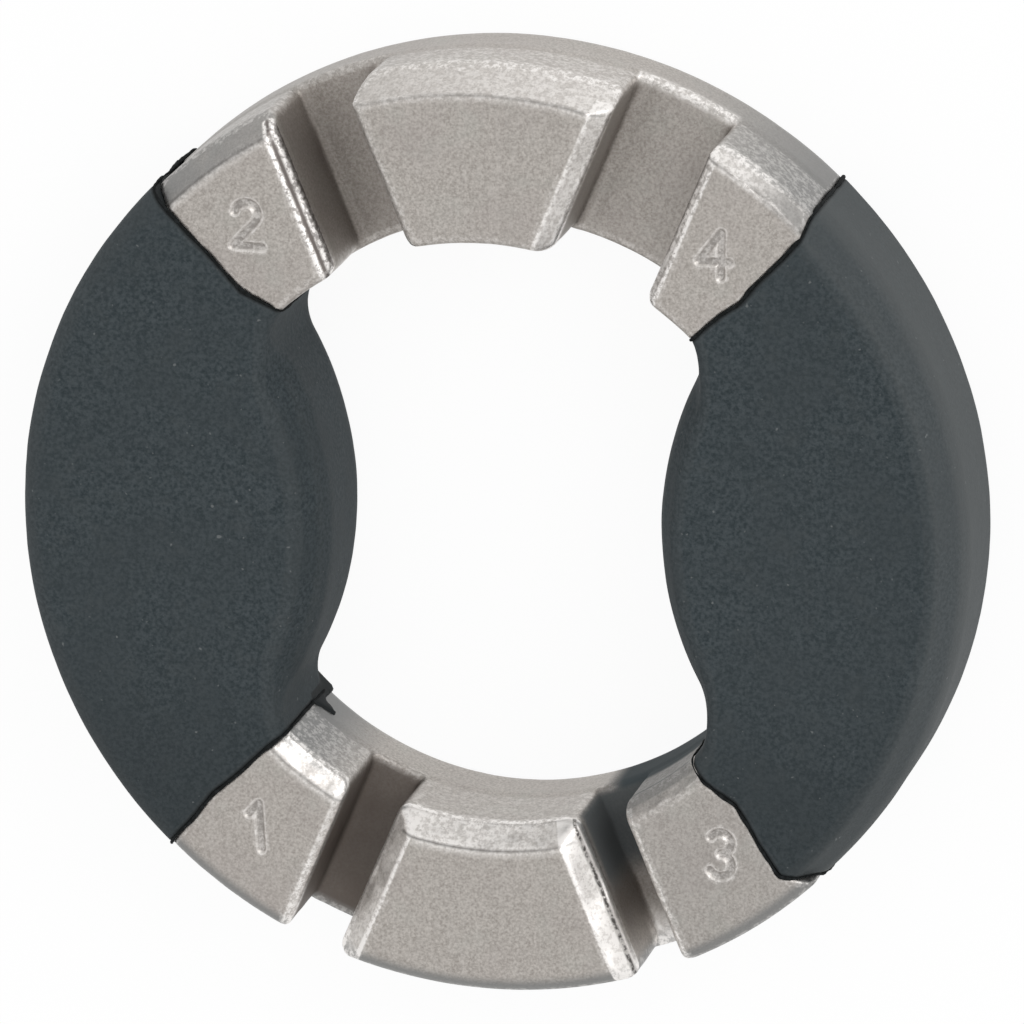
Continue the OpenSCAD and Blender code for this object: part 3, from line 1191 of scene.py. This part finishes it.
rubber = rubber_finish()
shaded_lip_rubber = lip_finish()
for grip in (left_grip, right_grip):
    grip.data.materials.append(rubber)
print("rubber finishes:", rubber.name, shaded_lip_rubber.name)

# %% Sweep the flash
def sweep_bead(path, name, seed):
    modifier = path.modifiers.new("bead", "NODES")
    modifier.node_group = bead
    for item in bead.interface.items_tree:
        if item.name in ("Seed", "Rubber"):
            modifier[item.identifier] = seed if item.name == "Seed" else shaded_lip_rubber
    bpy.context.view_layer.update()
    ready = path.evaluated_get(bpy.context.evaluated_depsgraph_get())
    mesh = bpy.data.meshes.new_from_object(ready)
    mesh.name = name
    path.modifiers.clear()
    bpy.data.objects.remove(path)
    print(name, len(mesh.vertices), "vertices, materials", [m.name for m in mesh.materials])
    return add_object(name, mesh)


left_flash = sweep_bead(left_path, "left_grip_flash", 7)
right_flash = sweep_bead(right_path, "right_grip_flash", 19)

# %% [markdown]
# ## Riding on the frame
# The detailed ring and grips stand for the CAD nodes, which stay hidden for
# collision. The tool is one rigid body, so everything rides on the root.

# %% Tie the pieces to the frame
for piece, node, slot in (
    (cast_ring, "ring_body", "cast_steel"),
    (left_grip, "left_grip", "grip_rubber"),
    (right_grip, "right_grip", "grip_rubber"),
):
    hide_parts(node)
    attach(piece, "root")
    print(piece.name, "stands for", node)
for piece in (left_flash, right_flash):
    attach(piece, "root")
    print(piece.name, "rides along")

# %% [markdown]
# ## Floor and light
# The photograph has a plain white ground and soft light from all sides, a
# little stronger from the upper right. A plain white world and one panel give
# that. The floor is white, and mostly gives light of its own to the camera and
# to reflections, so it stays white and still takes a faint shadow. More light on
# it would whiten it too, but the metal would be washed out.

# %% Floor
FLOOR_HALF = 3.0
GLOW_SHARE = 0.93

ground_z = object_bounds()[0][2]
corners = [
    (x * FLOOR_HALF, y * FLOOR_HALF, ground_z) for x, y in ((-1, -1), (1, -1), (1, 1), (-1, 1))
]
floor_mesh = bpy.data.meshes.new("floor")
floor_mesh.from_pydata(corners, [], [(0, 1, 2, 3)])
floor = add_object("floor", floor_mesh)

ground = Finish("white_ground")
seen, mirrored, through = [
    ground.node("ShaderNodeLightPath", output=ray)
    for ray in ("Is Camera Ray", "Is Glossy Ray", "Is Transmission Ray")
]
shown = seen.at_least(mirrored).at_least(through)
lit = ground.node("ShaderNodeBsdfDiffuse", None, {"Color": (0.97, 0.97, 0.97, 1)})
glow = ground.node("ShaderNodeEmission", None, {"Color": (1, 1, 1, 1), "Strength": 1.0})
ground_shader = ground.node("ShaderNodeMixShader", None, [shown * GLOW_SHARE, lit, glow])
floor_mesh.materials.append(ground.finish_with(ground_shader))
print("floor", 2 * FLOOR_HALF, "m wide at", round(ground_z / MM, 2), "mm")

# %% Lights
PANEL_POWER = 2.6
PANEL_SIZE = 0.5
SKY_STRENGTH = 0.88
panel_direction = Vector((0.75, 0.60, 0.75))

panel_data = bpy.data.lights.new("key_panel", "AREA")
panel_data.shape = "RECTANGLE"
panel_data.size = PANEL_SIZE
panel_data.size_y = PANEL_SIZE
panel_data.energy = PANEL_POWER
panel = add_object("key_panel", panel_data)
panel.location = panel_direction.normalized()
panel.rotation_euler = panel_direction.to_track_quat("Z", "Y").to_euler()

world = bpy.data.worlds.new("studio")
bpy.context.scene.world = world
world.use_nodes = True
sky = world.node_tree.nodes["Background"].inputs
sky["Color"].default_value = (1, 1, 1, 1)
sky["Strength"].default_value = SKY_STRENGTH
bpy.context.scene.view_settings.view_transform = "Standard"
print("panel of", PANEL_POWER, "W, sky of strength", SKY_STRENGTH)
